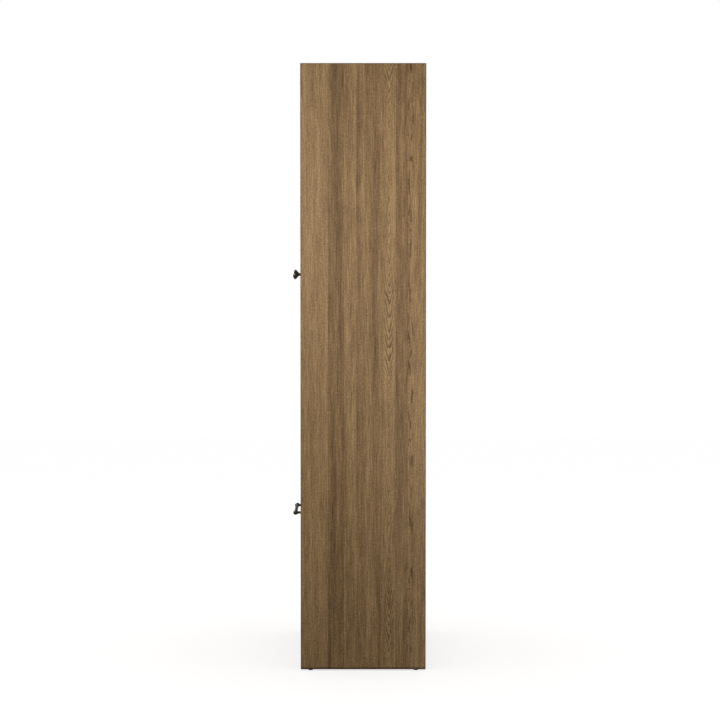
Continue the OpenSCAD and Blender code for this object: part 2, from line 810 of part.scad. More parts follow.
module drawer_pull() {
    color(black) translate([0, front_y, pull_z]) {
        bar([-pull_pitch / 2, -pull_reach, 0], "x", pull_bar_d, pull_pitch);
        for (x = [-1, 1] * pull_pitch / 2) {
            translate([x, -pull_reach, 0]) sphere(d = pull_ball_d);
            difference() {
                union() {
                    bar([x, -pull_reach, 0], "y", pull_post_d, pull_reach);
                    bar([x, -foot_h, 0], "y", foot_d, foot_h);
                }
                bar([x, -bolt_bite - hole_extra, 0], "y", bolt_d + 2 * fastener_fit,
                    bolt_bite + hole_extra + cut);
            }
        }
    }
}

module drawer_screws() {
    color(steel) {
        on_both_sides() {
            at_box_corner_screws() wood_screw(corner_screw_l, long_screw_d, 2 * long_screw_d);
            at_front_screws() wood_screw(front_screw_l, long_screw_d, 2 * long_screw_d);
            at_inner_slide_screws() pan_screw(long_screw_d, slide_screw_l, screw_head_d, slide_screw_head_h);
        }
        at_pull_screws() pan_screw(bolt_d, door_t + bolt_bite, bolt_head_d, bolt_head_h);
    }
}

// ---------- slides, drawn for the left one ----------

// A C-shaped channel: its web stands at web_x, and its flanges run to flange_x
module channel(web_x, flange_x, h) {
    low_x = min(web_x, flange_x);
    high_x = max(web_x, flange_x);
    inside_x = web_x < flange_x ? low_x + slide_t : low_x - cut;
    difference() {
        block([-inner_x + low_x, slide_y, slide_z - h / 2], [high_x - low_x, slide_l, h]);
        block([-inner_x + inside_x, slide_y - cut, slide_z - h / 2 + slide_t],
            [high_x - low_x - slide_t + cut, slide_l + 2 * cut, h - 2 * slide_t]);
    }
}

middle_h = slide_h - 2 * (slide_t + ball_d);
inner_h = middle_h - 2 * (slide_t + ball_d);
middle_web_x = 2.6;
middle_flange_x = 10.5;
outer_flange_x = 9;
inner_flange_x = 5;

module outer_slide_members() {
    color(steel) on_both_sides() difference() {
        channel(0, outer_flange_x, slide_h);
        at_outer_slide_screws() pan_screw_hole(long_screw_d, slide_screw_l);
    }
}

module middle_slide_members() {
    color(steel) on_both_sides() channel(middle_web_x, middle_flange_x, middle_h);
}

module inner_slide_members() {
    color(steel) on_both_sides() difference() {
        channel(slide_w, inner_flange_x, inner_h);
        at_inner_slide_screws() pan_screw_hole(long_screw_d, slide_screw_l);
    }
}

module carcass_screws() {
    color(steel) {
        on_both_sides() {
            at_pivots() across_gap()
                for (x = hinge_screw_x) translate([x, 0, 0]) wood_screw(small_screw_l);
            at_catch_screws() wood_screw(small_screw_l);
            at_outer_slide_screws() pan_screw(long_screw_d, slide_screw_l, screw_head_d, slide_screw_head_h);
        }
        at_back_screws() wood_screw(back_screw_l);
    }
}

// ---------- drawing ----------

left_side_panel();
right_side_panel();
top_panel();
bottom_panel();
divider_panel();
back_panel();
hanging_rail();
plinth();
floor_glides();
shelf_pins();
cam_locks();
cam_bolts();
dowels();
carcass_hinge_plates();
hinge_pins();
catch_cases();
catch_magnets();
outer_slide_members();
carcass_screws();
for (i = [1:shelf_count]) shelf(i);
for (side = SIDES) on_side(side) {
    door_hinge_stile();
    door_meeting_stile();
    door_top_rail();
    door_middle_rail();
    door_bottom_rail();
    door_upper_panel();
    door_lower_panel();
    door_hinge_plates();
    strike_plate();
    knob();
    door_screws();
}
drawer_front_left_stile();
drawer_front_right_stile();
drawer_front_top_rail();
drawer_front_bottom_rail();
drawer_front_panel();
drawer_left_side();
drawer_right_side();
drawer_box_front();
drawer_box_back();
drawer_bottom();
drawer_pull();
drawer_screws();
inner_slide_members();
middle_slide_members();
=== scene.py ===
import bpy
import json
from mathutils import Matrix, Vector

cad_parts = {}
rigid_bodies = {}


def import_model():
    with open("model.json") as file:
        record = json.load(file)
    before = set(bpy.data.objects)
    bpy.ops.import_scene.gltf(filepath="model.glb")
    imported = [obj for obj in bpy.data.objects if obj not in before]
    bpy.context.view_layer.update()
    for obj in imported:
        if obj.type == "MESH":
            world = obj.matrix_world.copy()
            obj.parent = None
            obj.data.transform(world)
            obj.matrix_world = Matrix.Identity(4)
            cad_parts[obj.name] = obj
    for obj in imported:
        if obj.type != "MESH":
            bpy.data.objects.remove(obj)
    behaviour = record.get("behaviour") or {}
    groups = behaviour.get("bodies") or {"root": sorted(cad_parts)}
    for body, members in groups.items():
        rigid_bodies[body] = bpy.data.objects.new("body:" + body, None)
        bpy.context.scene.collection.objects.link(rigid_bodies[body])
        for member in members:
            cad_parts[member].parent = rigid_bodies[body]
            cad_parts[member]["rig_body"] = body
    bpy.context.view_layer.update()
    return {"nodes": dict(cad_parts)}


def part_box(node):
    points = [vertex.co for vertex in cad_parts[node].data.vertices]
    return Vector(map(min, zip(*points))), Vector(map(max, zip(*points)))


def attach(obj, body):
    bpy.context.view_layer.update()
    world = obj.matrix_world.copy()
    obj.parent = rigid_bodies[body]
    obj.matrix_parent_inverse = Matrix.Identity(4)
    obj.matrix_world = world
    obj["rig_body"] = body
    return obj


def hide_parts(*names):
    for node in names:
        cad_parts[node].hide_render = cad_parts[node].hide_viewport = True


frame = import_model()

"""The looks of a pantry cabinet: two framed doors over a framed drawer front, in brown oak
laminate with black knobs and a black bar pull. Lengths are in metres. Places come from the
frame's boxes, and every piece rides with the body of the CAD node that it stands for."""

import json
import math

import bmesh
import bpy
import numpy as np

MM = 0.001
SIDES = ("left", "right")
scene = bpy.context.scene
scene.view_settings.view_transform = "Standard"


# ---------- camera, lights and floor ----------

EYE = (8.18, 0.0067, 1.32)      # the camera's place: to the cabinet's right, at chest height
LOOK_DOWN = 2.72                # degrees below level
LENS = 128.0                    # on a 36 mm sensor


def make_camera():
    """A camera to the cabinet's right that looks along -X, tipped down a little."""
    camera = bpy.data.objects.new("camera", bpy.data.cameras.new("camera"))
    camera.data.lens = LENS
    camera.location = EYE
    camera.rotation_euler = (math.radians(90 - LOOK_DOWN), 0, math.radians(90))
    scene.collection.objects.link(camera)
    scene.camera = camera


def make_lamp(name, place, towards, size, power):
    """A square soft box of a size in metres and a power in watts at a place, facing a point."""
    lamp = bpy.data.lights.new(name, "AREA")
    lamp.shape, lamp.size, lamp.energy = "SQUARE", size, power
    box = bpy.data.objects.new(name, lamp)
    place, towards = Vector(place), Vector(towards)
    box.location = place
    box.rotation_mode = "QUATERNION"
    box.rotation_quaternion = (towards - place).to_track_quat("-Z", "Y")
    box.visible_camera = False
    scene.collection.objects.link(box)


# Lamps: how far each stands out from the cabinet's middle, its size and its power
LAMP_X, LAMP_Y, LAMP_Z = 1.6, 1.2, 1.38     # a soft box off each corner, facing the cabinet's sides
CORNER_SIZE, CORNER_POWER = 0.6, 25
FRONT_OUT, FRONT_Z, FRONT_AIM_Z = 2.8, 1.3, 1.0
FRONT_SIZE, FRONT_POWER = 0.7, 16
TOP_Z, TOP_SIZE, TOP_POWER = 3.8, 0.8, 7


def make_lamps():
    """Four corner boxes, one box in front, one behind and one above."""
    for x, y in ((1, -1), (1, 1), (-1, -1), (-1, 1)):
        name = f"corner_box_{'right' if x > 0 else 'left'}_{'front' if y < 0 else 'back'}"
        place, towards = (x * LAMP_X, y * LAMP_Y, LAMP_Z), (0, y * LAMP_Y, LAMP_Z)
        make_lamp(name, place, towards, CORNER_SIZE, CORNER_POWER)
    for name, y in (("front_box", -FRONT_OUT), ("back_box", FRONT_OUT)):
        make_lamp(name, (0, y, FRONT_Z), (0, 0, FRONT_AIM_Z), FRONT_SIZE, FRONT_POWER)
    make_lamp("top_box", (0, 0, TOP_Z), (0, 0, 0), TOP_SIZE, TOP_POWER)


def make_world(seen, level, overhead):
    """White behind everything that the camera sees. The light on the object is dimmer, and
    grows from level, at and below the horizon, by overhead times the height of its direction."""
    world = bpy.data.worlds.new("studio")
    world.use_nodes = True
    scene.world = world
    tree = world.node_tree
    background = tree.nodes["Background"]
    background.inputs["Strength"].default_value = seen
    sky = tree.nodes.new("ShaderNodeBackground")
    for node in (background, sky):
        node.inputs["Color"].default_value = (1, 1, 1, 1)
    direction = tree.nodes.new("ShaderNodeTexCoord")
    parts = tree.nodes.new("ShaderNodeSeparateXYZ")
    tree.links.new(direction.outputs["Generated"], parts.inputs[0])
    upward = tree.nodes.new("ShaderNodeMath")
    upward.operation = "MAXIMUM"
    upward.inputs[1].default_value = 0
    tree.links.new(parts.outputs["Z"], upward.inputs[0])
    strength = tree.nodes.new("ShaderNodeMath")
    strength.operation = "MULTIPLY_ADD"
    strength.inputs[1].default_value, strength.inputs[2].default_value = overhead, level
    tree.links.new(upward.outputs[0], strength.inputs[0])
    tree.links.new(strength.outputs[0], sky.inputs["Strength"])
    path = tree.nodes.new("ShaderNodeLightPath")
    both = tree.nodes.new("ShaderNodeMixShader")
    tree.links.new(path.outputs["Is Camera Ray"], both.inputs["Fac"])
    tree.links.new(sky.outputs["Background"], both.inputs[1])
    tree.links.new(background.outputs["Background"], both.inputs[2])
    tree.links.new(both.outputs["Shader"], tree.nodes["World Output"].inputs["Surface"])


def make_floor(half, glow, grey):
    """A pale floor: a square plane that glows, and that the sky and the top box light, so
    that the cabinet's soft shadow shows on it."""
    mesh = bpy.data.meshes.new("floor")
    corners = [(-half, -half, 0), (half, -half, 0), (half, half, 0), (-half, half, 0)]
    mesh.from_pydata(corners, [], [(0, 1, 2, 3)])
    floor = bpy.data.objects.new("floor", mesh)
    scene.collection.objects.link(floor)
    material = bpy.data.materials.new("pale_floor")
    material.use_nodes = True
    surface = material.node_tree.nodes["Principled BSDF"]
    surface.inputs["Base Color"].default_value = (grey, grey, grey, 1)
    surface.inputs["Roughness"].default_value = 1
    surface.inputs["Specular IOR Level"].default_value = 0
    surface.inputs["Emission Color"].default_value = (1, 1, 1, 1)
    surface.inputs["Emission Strength"].default_value = glow
    mesh.materials.append(material)
    floor.visible_diffuse = floor.visible_glossy = False
    unlit = bpy.data.collections.new("unlit_by_side_boxes")
    unlit.objects.link(floor)
    unlit.collection_objects[0].light_linking.link_state = "EXCLUDE"
    for lamp in scene.objects:
        if lamp.type == "LIGHT" and lamp.name != "top_box":
            lamp.light_linking.receiver_collection = unlit


# ---------- material nodes ----------

def srgb(red, green, blue):
    """A colour given as 0 to 255 on a screen, as the linear values that a shader takes."""
    share = np.array([red, green, blue]) / 255
    linear = np.where(share <= 0.04045, share / 12.92, ((share + 0.055) / 1.055) ** 2.4)
    return (*linear.tolist(), 1.0)


def put(socket, value):
    """Links another node's output to a socket, or sets the socket's own value."""
    if isinstance(value, bpy.types.NodeSocket):
        socket.id_data.links.new(value, socket)
    else:
        socket.default_value = value


class Finish:
    """A material being made: its shader, and short calls for the nodes that patterns use."""

    def __init__(self, name):
        self.material = bpy.data.materials.new(name)
        self.material.use_nodes = True
        self.tree = self.material.node_tree
        self.shader = self.tree.nodes["Principled BSDF"]

    def node(self, kind, inputs=(), **settings):
        node = self.tree.nodes.new(kind)
        for key, value in settings.items():
            setattr(node, key, value)
        for key, value in dict(inputs).items():
            put(node.inputs[key], value)
        return node

    def math(self, operation, a, b=0.0, c=0.0):
        return self.node("ShaderNodeMath", {0: a, 1: b, 2: c}, operation=operation).outputs[0]

    def total(self, *terms):
        """The sum of (value, weight) pairs."""
        sum_so_far = 0.0
        for value, weight in terms:
            sum_so_far = self.math("MULTIPLY_ADD", value, weight, sum_so_far)
        return sum_so_far

    def between(self, value, low, high, low_gives=0.0, high_gives=1.0):
        """A smooth step: low_gives up to low, high_gives from high."""
        inputs = {"Value": value, "From Min": low, "From Max": high,
                  "To Min": low_gives, "To Max": high_gives}
        return self.node("ShaderNodeMapRange", inputs, interpolation_type="SMOOTHSTEP").outputs[0]

    def ramp(self, value, stops, interpolation="LINEAR"):
        node = self.node("ShaderNodeValToRGB", {"Fac": value})
        node.color_ramp.interpolation = interpolation
        while len(node.color_ramp.elements) < len(stops):
            node.color_ramp.elements.new(1.0)
        for element, (place, colour) in zip(node.color_ramp.elements, stops):
            element.position, element.color = place, colour
        return node.outputs["Color"]

    def place(self):
        """The point on the piece, in the object's own frame."""
        return self.node("ShaderNodeTexCoord").outputs["Object"]

    def split(self, vector):
        return self.node("ShaderNodeSeparateXYZ", {0: vector}).outputs

    def vector(self, x, y, z):
        return self.node("ShaderNodeCombineXYZ", {0: x, 1: y, 2: z}).outputs[0]

    def vector_math(self, operation, a, b):
        return self.node("ShaderNodeVectorMath", {0: a, 1: b}, operation=operation).outputs[0]

    def noise(self, vector, cells, detail=2.0, roughness=0.5, seed=0.0):
        """Smooth noise with so many cells per metre along each axis."""
        scaled = self.vector_math("MULTIPLY", vector, cells)
        inputs = {"Vector": scaled, "W": seed, "Scale": 1.0, "Detail": detail, "Roughness": roughness}
        return self.node("ShaderNodeTexNoise", inputs, noise_dimensions="4D").outputs[0]

    def bump(self, height, depth, strength=1.0):
        node = self.node("ShaderNodeBump", {"Height": height, "Distance": depth, "Strength": strength})
        put(self.shader.inputs["Normal"], node.outputs["Normal"])

    def set(self, **inputs):
        """Sets or links the shader's inputs, named with underscores for spaces."""
        for key, value in inputs.items():
            put(self.shader.inputs[key.replace("_", " ")], value)
        return self.material


# ---------- wood ----------

VENEER_WIDTH = 0.382            # the figure repeats after this width
# Where each strip of the veneer starts across that width, and its tone from dark 0 to light 1
VENEER_STRIPS = [(0.0, 0.55), (0.215, 0.34), (0.345, 0.51), (0.445, 0.44), (0.57, 0.39), (0.635, 0.51),
                 (0.757, 0.37), (0.853, 0.48)]
OAK_TONES = [(0.0, srgb(78, 57, 34)), (0.25, srgb(106, 81, 51)), (0.5, srgb(132, 103, 69)),
             (0.75, srgb(154, 124, 84)), (1.0, srgb(176, 146, 103))]
CATHEDRAL_AT = 0.269            # middle of the arched figure, across the veneer
CATHEDRAL_HALF = 0.0135
ARCH_STEP = 0.034               # from one arch to the next along the grain
ARCH_RISE = 0.046               # how far an arch's ends lie beyond its tip
SPINDLES_AT = 0.335             # middle of the column of short dark spindles
SPINDLES_HALF = 0.009
EDGE_LINE = 3.4 * MM            # width of the darker line along each edge of a board
FLOOR_SHADE_HEIGHT = 9 * MM              # height of the painted shade where a board meets the floor
NEAR_FLOOR = 20 * MM            # boards that reach lower than this have it

AXES = {"x": 0, "y": 1, "z": 2}


def edge_nearness(finish, point, low, high):
    """1 on a board's edges and 0 away from them: of the point's distances to the nearest of
    the board's two faces along x, y and z, the middle one is its distance to the edge."""
    to_faces = []
    for value, least, most in zip(finish.split(point), low, high):
        from_low = finish.math("SUBTRACT", value, least)
        from_high = finish.math("SUBTRACT", most, value)
        to_faces.append(finish.math("MINIMUM", from_low, from_high))
    a, b, c = to_faces
    middle = finish.math("MAXIMUM", finish.math("MINIMUM", a, b),
                         finish.math("MINIMUM", finish.math("MAXIMUM", a, b), c))
    return finish.between(middle, 0.3 * MM, EDGE_LINE, 1.0, 0.0)


def oak(name, order, shift, low, high):
    """Brown oak veneer. order names the board's axes across the grain, through the board and
    along the grain; shift moves the board's window over the veneer."""
    f = Finish(name)
    here = f.place()
    xyz = f.split(here)
    moved = f.vector_math("ADD", f.vector(*(xyz[AXES[axis]] for axis in order)), shift)
    across, depth, along = f.split(moved)

    # Strips of veneer, each with its own tone and its own noise. Adding the depth lets the
    # figure go on round a board's edge.
    across = f.math("ADD", across, depth)
    share = f.math("FRACT", f.math("DIVIDE", across, VENEER_WIDTH))
    stops = [(start, (tone, tone, tone, 1)) for start, tone in VENEER_STRIPS]
    strip = f.ramp(share, stops, "CONSTANT")
    seed = f.math("MULTIPLY", strip, 40.0)

    drift = f.noise(moved, (4, 4, 1.6), detail=1.0, seed=seed)
    bent = f.vector(f.math("MULTIPLY_ADD", drift, 0.02, across), depth, along)
    broad = f.noise(bent, (70, 70, 1.8), detail=1.5, seed=seed)
    streaks = f.noise(bent, (260, 260, 11), detail=2.0, roughness=0.6, seed=seed)
    lines = f.noise(bent, (900, 900, 24), detail=2.0, roughness=0.6, seed=seed)
    flecks = f.noise(bent, (300, 300, 170), detail=3.0, roughness=0.75)
    pores = f.noise(bent, (2600, 2600, 150), detail=1.0)
    pore_lines = f.between(pores, 0.56, 0.60)

    # Arches in one column: a step apart, with ends that rise as a power of their offset
    column = f.math("MULTIPLY", share, VENEER_WIDTH)
    offset = f.math("DIVIDE", f.math("ABSOLUTE", f.math("SUBTRACT", column, CATHEDRAL_AT)), CATHEDRAL_HALF)
    uneven = f.noise(moved, (60, 60, 12), detail=2.0)
    slow = f.noise(moved, (0, 0, 2.3), detail=1.0)
    rise = f.between(slow, 0.42, 0.62, 3 * ARCH_RISE / ARCH_STEP, ARCH_RISE / ARCH_STEP)
    height = f.total((along, 1 / ARCH_STEP), (f.math("MULTIPLY", f.math("POWER", offset, 1.4), rise), -1.0),
                     (uneven, 2.6))
    phase = f.math("FRACT", height)
    arch = f.math("MULTIPLY", f.between(phase, 0.0, 0.10), f.between(phase, 0.16, 0.6, 1.0, 0.0))
    inside = f.between(f.math("MULTIPLY_ADD", uneven, 0.4, offset), 1.0, 1.35, 1.0, 0.0)
    arch_depth = f.between(slow, 0.42, 0.62, -0.27, -0.56)
    figure = f.math("MULTIPLY", f.total((f.math("MULTIPLY", arch, arch_depth), 1.0), (1.0, 0.12)), inside)

    # Short dark spindles in a narrow column beside it
    aside = f.math("DIVIDE", f.math("ABSOLUTE", f.math("SUBTRACT", column, SPINDLES_AT)), SPINDLES_HALF)
    dashes = f.between(f.noise(bent, (150, 150, 21), detail=1.0, seed=3.0), 0.54, 0.64)
    spindles = f.math("MULTIPLY", dashes, f.between(aside, 0.6, 1.2, 1.0, 0.0))

    tone = f.total((strip, 1.0), (broad, 0.7), (streaks, 0.85), (lines, 1.25), (flecks, 1.4),
                   (1.0, -1.99), (pore_lines, -0.4), (figure, 1.0), (spindles, -0.5),
                   (edge_nearness(f, here, low, high), -0.4))
    # Painted shade: the tone darkens towards the bottom edge of a board that stands near the floor, standing
    # in for the contact shadow there.
    if low[2] < NEAR_FLOOR:
        foot = f.between(xyz[2], low[2] + 1 * MM, low[2] + FLOOR_SHADE_HEIGHT, 1.0, 0.0)
        tone = f.total((tone, 1.0), (foot, -0.6))
    colour = f.ramp(tone, OAK_TONES)
    roughness = f.total((lines, 0.22), (pore_lines, 0.1), (1.0, 0.40))
    f.bump(f.total((lines, 0.5), (streaks, 0.3), (pore_lines, -1.0)), 0.15 * MM, 0.8)
    return f.set(Base_Color=colour, Roughness=roughness, Specular_IOR_Level=0.25)


def pale_wood(name, order, dark, light, shift=(0, 0, 0)):
    """Clear-finished birch or beech: a quiet straight grain with short flecks."""
    f = Finish(name)
    xyz = f.split(f.place())
    moved = f.vector_math("ADD", f.vector(*(xyz[AXES[axis]] for axis in order)), shift)
    broad = f.noise(moved, (40, 40, 2), detail=2.0)
    lines = f.noise(moved, (500, 500, 12), detail=3.0)
    flecks = f.noise(moved, (900, 900, 140), detail=1.0)
    dashes = f.between(flecks, 0.6, 0.7)
    tone = f.total((broad, 0.9), (lines, 0.8), (dashes, -0.2), (1.0, -0.35))
    colour = f.ramp(tone, [(0.0, dark), (1.0, light)])
    f.bump(f.total((lines, 0.6), (dashes, -0.8)), 0.06 * MM, 0.6)
    return f.set(Base_Color=colour, Roughness=f.total((lines, 0.2), (1.0, 0.38)), Specular_IOR_Level=0.35)


def back_board(name):
    """Thin hardboard with a printed brown face: soft vertical streaks and a fine fleck."""
    f = Finish(name)
    here = f.place()
    streaks = f.noise(here, (120, 120, 5), detail=3.0)
    fleck = f.noise(here, (500, 500, 90), detail=3.0, roughness=0.7)
    tone = f.total((streaks, 0.7), (fleck, 0.9), (1.0, -0.3))
    colour = f.ramp(tone, [(0.0, srgb(96, 74, 50)), (0.5, srgb(126, 100, 71)), (1.0, srgb(148, 121, 88))])
    f.bump(fleck, 0.05 * MM, 0.5)
    return f.set(Base_Color=colour, Roughness=f.total((fleck, 0.2), (1.0, 0.5)), Specular_IOR_Level=0.3)


# ---------- metal and plastic ----------

def powder_black(name):
    """Satin black coating: a fine orange peel, faint tone patches and slightly varied gloss."""
    f = Finish(name)
    here = f.place()
    peel = f.noise(here, (1500, 1500, 1500), detail=2.0)
    patches = f.noise(here, (90, 90, 90), detail=3.0)
    colour = f.ramp(patches, [(0.3, (0.014, 0.014, 0.014, 1)), (0.7, (0.026, 0.026, 0.024, 1))])
    f.bump(peel, 0.03 * MM, 0.5)
    return f.set(Base_Color=colour, Roughness=f.total((patches, 0.2), (1.0, 0.2)), Specular_IOR_Level=1.0)


def plated_steel(name, stretched=(300, 300, 300)):
    """Zinc-plated steel: fine brushed lines and a slightly mottled brightness."""
    f = Finish(name)
    here = f.place()
    brushed = f.noise(here, [8 * cells for cells in stretched], detail=3.0)
    mottle = f.noise(here, (160, 160, 160), detail=3.0)
    colour = f.ramp(mottle, [(0.3, (0.48, 0.49, 0.50, 1)), (0.7, (0.68, 0.68, 0.69, 1))])
    f.bump(brushed, 0.02 * MM, 0.5)
    roughness = f.total((brushed, 0.25), (mottle, 0.2), (1.0, 0.12))
    return f.set(Base_Color=colour, Roughness=roughness, Metallic=1.0)


def cast_zinc(name, light):
    """Die-cast zinc or bare ferrite: a grainy skin with soft grey patches."""
    f = Finish(name)
    here = f.place()
    grain = f.noise(here, (1200, 1200, 1200), detail=2.0)
    patches = f.noise(here, (140, 140, 140), detail=3.0)
    dark, pale = 0.7 * light, light
    colour = f.ramp(patches, [(0.3, (dark, dark, dark, 1)), (0.7, (pale, pale, 1.02 * pale, 1))])
    f.bump(grain, 0.04 * MM, 0.6)
    return f.set(Base_Color=colour, Roughness=f.total((grain, 0.25), (1.0, 0.35)), Metallic=1.0)


def moulded_black(name):
    """Moulded black plastic: a fine spark-eroded texture."""
    f = Finish(name)
    texture = f.noise(f.place(), (1800, 1800, 1800), detail=2.0)
    colour = f.ramp(texture, [(0.3, (0.016, 0.016, 0.016, 1)), (0.7, (0.028, 0.028, 0.028, 1))])
    f.bump(texture, 0.05 * MM, 0.6)
    return f.set(Base_Color=colour, Roughness=f.total((texture, 0.25), (1.0, 0.42)), Specular_IOR_Level=0.4)


# ---------- making pieces ----------

COPY_MERGE = 0.002 * MM         # points of a CAD mesh closer than this become one
SURFACE_MERGE = 0.001 * MM      # the same for the surfaces made here
FLAT = math.radians(0.3)        # faces that meet at less than this are one flat face
SHARP = math.radians(32)        # edges turned by more than this are eased
ON_FACE = 0.01 * MM             # how near a point lies to a face of its box to be on it
EASE_STEPS = 3                  # faces across an eased edge


def stand_for(piece, node, material):
    """Gives a finished piece its material and slot, and puts it in the place of a CAD node."""
    piece.data.materials.clear()
    piece.data.materials.append(material)
    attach(piece, frame["nodes"][node]["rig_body"])
    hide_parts(node)


def eased_copy(node, ease, outer_only):
    """A merged copy of a CAD node with its sharp edges eased. outer_only eases just the edges
    of the node's own box, so that drilled holes and grooves stay crisp."""
    piece = bpy.data.objects.new(node + "_finished", bpy.data.meshes.new(node + "_finished"))
    scene.collection.objects.link(piece)
    shape = bmesh.new()
    shape.from_mesh(frame["nodes"][node].data)
    bmesh.ops.remove_doubles(shape, verts=shape.verts, dist=COPY_MERGE)
    bmesh.ops.dissolve_limit(shape, angle_limit=FLAT, verts=shape.verts, edges=shape.edges)
    low, high = (np.array(corner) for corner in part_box(node))
    weight = shape.edges.layers.float.new("bevel_weight_edge")
    for edge in shape.edges:
        sharp = len(edge.link_faces) == 2 and edge.calc_face_angle(0.0) > SHARP
        edge.smooth = not sharp
        ends = np.array([vertex.co for vertex in edge.verts])
        on_faces = (np.abs(ends - low).max(0) < ON_FACE) | (np.abs(ends - high).max(0) < ON_FACE)
        if sharp and (not outer_only or on_faces.sum() >= 2):
            edge[weight] = 1.0
            edge.smooth = True
    for face in shape.faces:
        face.smooth = True
    shape.to_mesh(piece.data)
    shape.free()
    if ease:
        bevel = piece.modifiers.new("eased", "BEVEL")
        bevel.width, bevel.segments, bevel.limit_method = ease, EASE_STEPS, "WEIGHT"
        bevel.use_clamp_overlap, bevel.harden_normals = False, True
    return piece


def make_surface(name, sheets, capped=False):
    """One mesh from sheets, each a grid of points (rows, columns, 3) whose columns close in a
    ring. Ends that come to a point close there, because equal points are merged; capped closes
    the first and last rows with a flat face instead."""
    points, faces, start = [], [], 0
    for sheet in sheets:
        rows, columns = sheet.shape[:2]
        index = start + np.arange(rows * columns).reshape(rows, columns)
        index = np.hstack([index, index[:, :1]])
        quads = np.stack([index[:-1, :-1], index[1:, :-1], index[1:, 1:], index[:-1, 1:]], -1)
        points.append(sheet.reshape(-1, 3))
        faces += quads.reshape(-1, 4).tolist()
        if capped:
            faces += [index[0, :-1].tolist(), index[-1, :-1].tolist()]
        start += rows * columns
    mesh = bpy.data.meshes.new(name)
    mesh.from_pydata(np.vstack(points), [], faces)
    shape = bmesh.new()
    shape.from_mesh(mesh)
    bmesh.ops.remove_doubles(shape, verts=shape.verts, dist=SURFACE_MERGE)
    bmesh.ops.recalc_face_normals(shape, faces=shape.faces)
    for face in shape.faces:
        face.smooth = len(face.verts) <= 4
    shape.to_mesh(mesh)
    shape.free()
    piece = bpy.data.objects.new(name, mesh)
    scene.collection.objects.link(piece)
    return piece


def rounded(corners, steps=7):
    """An outline through (x, y, radius) corners, each turned by an arc of its radius: the arc's
    middle lies on the corner's bisector, and its ends where the sides touch it."""
    outline = [np.array([corners[0][:2]])]
    for before, corner, after in zip(corners, corners[1:], corners[2:]):
        point = np.array(corner[:2])
        back, ahead = np.array(before[:2]) - point, np.array(after[:2]) - point
        back, ahead = back / np.linalg.norm(back), ahead / np.linalg.norm(ahead)
        half = math.acos(np.clip(back @ ahead, -1, 1)) / 2
        middle = (back + ahead) / np.linalg.norm(back + ahead)
        centre = point + middle * corner[2] / math.sin(half)
        first = point + back * corner[2] / math.tan(half) - centre
        last = point + ahead * corner[2] / math.tan(half) - centre
        share = np.linspace(0, 1, steps)[:, None]
        spokes = first * (1 - share) + last * share
        spokes *= corner[2] / np.linalg.norm(spokes, axis=1, keepdims=True)
        outline.append(centre + spokes)
    outline.append(np.array([corners[-1][:2]]))
    return np.vstack(outline)


def turned(outline, centre, axis, around=96):
    """A turned shape: each (radius, distance) of the outline becomes a ring of that radius, at
    that distance from the centre along the axis."""
    axis = np.array(axis, float)
    side = np.cross(axis, (0, 0, 1) if abs(axis[2]) < 0.9 else (1, 0, 0))
    side /= np.linalg.norm(side)
    other = np.cross(axis, side)
    angle = np.linspace(0, 2 * np.pi, around, endpoint=False)
    ring = np.cos(angle)[:, None] * side + np.sin(angle)[:, None] * other
    radius, distance = outline[:, 0, None, None], outline[:, 1, None, None]
    return np.array(centre) + radius * ring[None] + distance * axis


# ---------- knobs and pull ----------

FOOT_D, FOOT_H = 15 * MM, 3 * MM
FOOT_BACK_R, FOOT_EDGE_R = 0.3 * MM, 0.9 * MM
# Distances along a knob from its door: where the neck ends, and where the cone reaches the rim
KNOB_NECK_D, KNOB_NECK_TO = 9 * MM, 14 * MM
KNOB_RIM_AT, KNOB_DOME_H = 24.6 * MM, 8 * MM
KNOB_FOOT_FILLET, KNOB_NECK_FILLET, KNOB_RIM_R = 1.2 * MM, 3 * MM, 0.9 * MM
KNOB_RIM_IN, KNOB_RIM_H = 2 * MM, 1.9 * MM      # from the rim's corner to where the dome starts
DOME_STEPS, BALL_STEPS = 24, 40
PULL_POST_D, PULL_BALL_D, PULL_BAR_D = 8 * MM, 15.5 * MM, 10 * MM
POST_FOOT_FILLET, POST_BALL_FILLET = 1.0 * MM, 0.6 * MM
POST_FLARE, POST_SHORT = 0.5 * MM, 0.1 * MM     # the post widens by this, this far before its ball
BAR_END_R = 0.5 * MM
POST_AROUND, BAR_AROUND = 72, 64                # faces round a post and the bar


def make_knob(side, material):
    """A turned knob on a round foot: a waisted neck opens to a cone, and a low dome closes it."""
    low, high = (np.array(corner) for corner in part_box(side + "_knob"))
    radius, reach = (high[0] - low[0]) / 2, high[1] - low[1]
    centre = ((low[0] + high[0]) / 2, high[1], (low[2] + high[2]) / 2)
    dome_r = (radius ** 2 + KNOB_DOME_H ** 2) / (2 * KNOB_DOME_H)
    dome_from = radius - KNOB_RIM_IN
    body = rounded([(0, 0, 0), (FOOT_D / 2, 0, FOOT_BACK_R), (FOOT_D / 2, FOOT_H, FOOT_EDGE_R),
                    (KNOB_NECK_D / 2, FOOT_H, KNOB_FOOT_FILLET),
                    (KNOB_NECK_D / 2, KNOB_NECK_TO, KNOB_NECK_FILLET),
                    (radius, KNOB_RIM_AT, KNOB_RIM_R), (dome_from, KNOB_RIM_AT + KNOB_RIM_H, 0)])
    slope = np.linspace(math.asin(dome_from / dome_r), 0, DOME_STEPS)
    dome = np.stack([dome_r * np.sin(slope), reach - dome_r + dome_r * np.cos(slope)], 1)
    outline = np.vstack([body[:-1], dome])
    knob = make_surface(side + "_turned_knob", [turned(outline, centre, (0, -1, 0))])
    stand_for(knob, side + "_knob", material)


